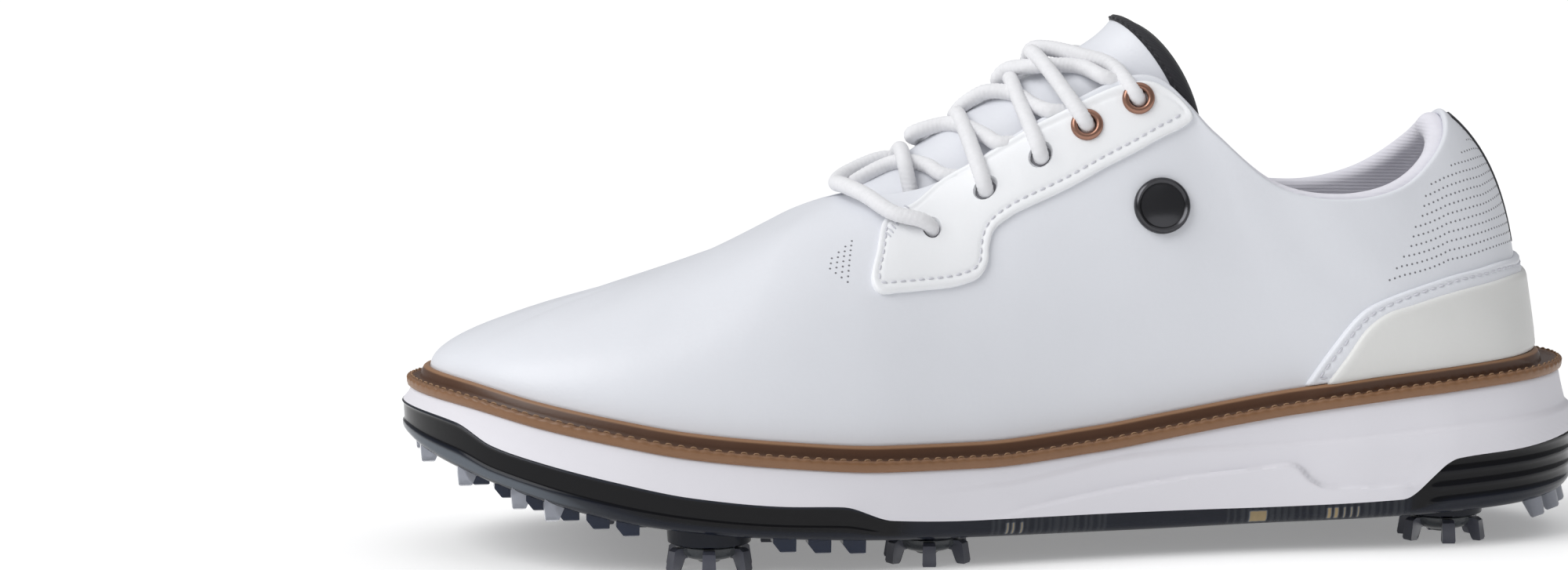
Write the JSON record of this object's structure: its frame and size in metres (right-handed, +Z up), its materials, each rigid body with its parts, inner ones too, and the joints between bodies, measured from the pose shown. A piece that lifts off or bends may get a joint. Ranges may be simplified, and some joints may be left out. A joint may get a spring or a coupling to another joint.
{
  "type": "golf shoe",
  "caption": "Laced leather golf shoe for a left foot, with a welted foam sole, a moulded outsole and twist-in soft spikes.",
  "frame": {"origin": "middle of the shoe's length and width, on the ground under the spikes", "axes": "+X from the toe to the heel, +Y towards the big-toe side of a left foot, +Z up"},
  "size_m": [0.309, 0.1069, 0.1364],
  "materials": {
    "white_leather": "smooth full-grain leather with a soft satin finish",
    "ivory_panel": "smooth moulded ivory panel",
    "black_textile": "woven black binding tape",
    "lace_cord": "round braided polyester cord",
    "clear_tip": "clear glossy tip",
    "knit_lining": "fine ribbed knit",
    "soft_foam": "soft open foam",
    "insole_fabric": "matt knit over foam",
    "stiffener_sheet": "matt fibre sheet",
    "black_nickel": "polished black nickel",
    "copper": "satin rose copper",
    "brown_welt": "burnished brown welt with a stitched edge",
    "midsole_foam": "matt moulded foam",
    "black_outsole": "glossy black moulded sole",
    "shank_steel": "plain sheet",
    "cork_filler": "granular filler",
    "fibre_board": "plain board",
    "smoke_cleat": "translucent smoke grey",
    "socket_plastic": "moulded plastic"
  },
  "bodies": {
    "shoe": {"upper_shell": "white_leather", "eyestay_lateral": "white_leather", "eyestay_medial": "white_leather", "heel_cover": "ivory_panel", "backstay": "black_textile", "lace": "lace_cord", "aglet_lateral": "clear_tip", "aglet_medial": "clear_tip", "collar_lining": "knit_lining", "vamp_lining": "knit_lining", "collar_padding": "soft_foam", "insole": "insole_fabric", "toe_puff": "stiffener_sheet", "heel_stiffener": "stiffener_sheet", "side_badge": "black_nickel", "eyelet_lateral_front": "copper", "eyelet_lateral_rear": "copper", "eyelet_medial_front": "copper", "eyelet_medial_rear": "copper", "welt": "brown_welt", "midsole": "midsole_foam", "outsole": "black_outsole", "shank": "shank_steel", "bottom_filler": "cork_filler", "lasting_board": "fibre_board", "receptacle_front_lateral": "socket_plastic", "receptacle_front_medial": "socket_plastic", "receptacle_middle_medial": "socket_plastic", "receptacle_rear_lateral": "socket_plastic", "receptacle_rear_medial": "socket_plastic", "receptacle_heel_lateral": "socket_plastic", "receptacle_heel_medial": "socket_plastic"},
    "tongue": {"tongue": "white_leather", "tongue_binding": "black_textile"},
    "cleat_front_lateral": {"cleat_front_lateral": "smoke_cleat"},
    "cleat_front_medial": {"cleat_front_medial": "smoke_cleat"},
    "cleat_middle_medial": {"cleat_middle_medial": "smoke_cleat"},
    "cleat_rear_lateral": {"cleat_rear_lateral": "smoke_cleat"},
    "cleat_rear_medial": {"cleat_rear_medial": "smoke_cleat"},
    "cleat_heel_lateral": {"cleat_heel_lateral": "smoke_cleat"},
    "cleat_heel_medial": {"cleat_heel_medial": "smoke_cleat"}
  },
  "joints": [
    {"name": "tongue_hinge", "type": "hinge", "parent": "shoe", "child": "tongue", "pos_m": [-0.041, 0, 0.084], "axis": [0, 1, 0], "range_deg": [0, 6]},
    {"name": "cleat_turn_front_lateral", "type": "hinge", "parent": "shoe", "child": "cleat_front_lateral", "pos_m": [-0.081, -0.037, 0.006], "axis": [0, 0, 1], "range_deg": [0, 60]},
    {"name": "cleat_turn_front_medial", "type": "hinge", "parent": "shoe", "child": "cleat_front_medial", "pos_m": [-0.09, 0.035, 0.006], "axis": [0, 0, 1], "range_deg": [0, 60]},
    {"name": "cleat_turn_middle_medial", "type": "hinge", "parent": "shoe", "child": "cleat_middle_medial", "pos_m": [-0.06, 0.008, 0.006], "axis": [0, 0, 1], "range_deg": [0, 60]},
    {"name": "cleat_turn_rear_lateral", "type": "hinge", "parent": "shoe", "child": "cleat_rear_lateral", "pos_m": [-0.025, -0.033, 0.006], "axis": [0, 0, 1], "range_deg": [0, 60]},
    {"name": "cleat_turn_rear_medial", "type": "hinge", "parent": "shoe", "child": "cleat_rear_medial", "pos_m": [-0.028, 0.031, 0.006], "axis": [0, 0, 1], "range_deg": [0, 60]},
    {"name": "cleat_turn_heel_lateral", "type": "hinge", "parent": "shoe", "child": "cleat_heel_lateral", "pos_m": [0.114, -0.02, 0.006], "axis": [0, 0, 1], "range_deg": [0, 60]},
    {"name": "cleat_turn_heel_medial", "type": "hinge", "parent": "shoe", "child": "cleat_heel_medial", "pos_m": [0.097, 0.021, 0.006], "axis": [0, 0, 1], "range_deg": [0, 60]}
  ]
}
